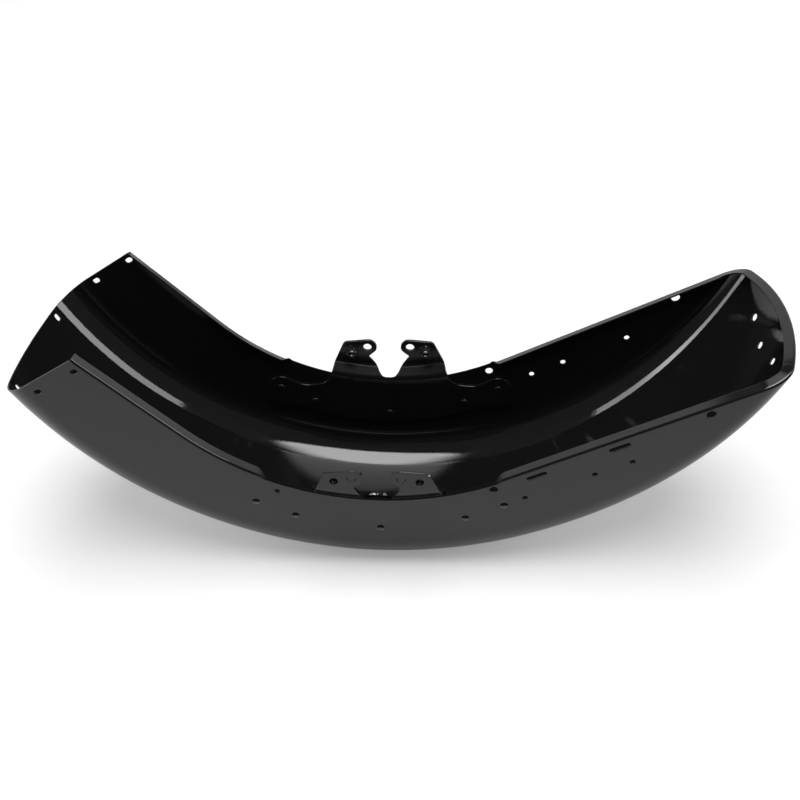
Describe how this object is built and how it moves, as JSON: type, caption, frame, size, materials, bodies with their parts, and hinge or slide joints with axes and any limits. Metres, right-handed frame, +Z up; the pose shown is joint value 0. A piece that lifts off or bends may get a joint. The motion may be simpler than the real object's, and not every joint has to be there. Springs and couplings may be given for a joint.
{
  "type": "motorcycle front fender",
  "caption": "Deep-skirted steel front fender for a wide motorcycle wheel, with riveted fork mounting brackets inside, flanged rim and trim holes.",
  "frame": {"origin": "middle of the bounding box's bottom face, where the crown lies on the floor, open side up", "axes": "+X from tail to nose, +Y across the fender along the wheel axis to its far side, +Z up out of the open side"},
  "size_m": [0.6712, 0.19, 0.2584],
  "materials": {
    "black_paint_shell": "gloss black paint over pressed steel",
    "black_paint_bracket": "gloss black paint over plate",
    "black_paint_rivet": "gloss black paint, worn at the edge",
    "dark_nut": "black with bare steel in the thread"
  },
  "bodies": {
    "root": {"fender_shell": "black_paint_shell", "bracket_near": "black_paint_bracket", "bracket_far": "black_paint_bracket", "rivet_near_1": "black_paint_rivet", "rivet_near_2": "black_paint_rivet", "rivet_near_3": "black_paint_rivet", "rivet_near_4": "black_paint_rivet", "rivet_near_5": "black_paint_rivet", "rivet_far_1": "black_paint_rivet", "rivet_far_2": "black_paint_rivet", "rivet_far_3": "black_paint_rivet", "rivet_far_4": "black_paint_rivet", "rivet_far_5": "black_paint_rivet", "nut_near_rear": "dark_nut", "nut_near_front": "dark_nut", "nut_far_rear": "dark_nut", "nut_far_front": "dark_nut"}
  },
  "joints": []
}
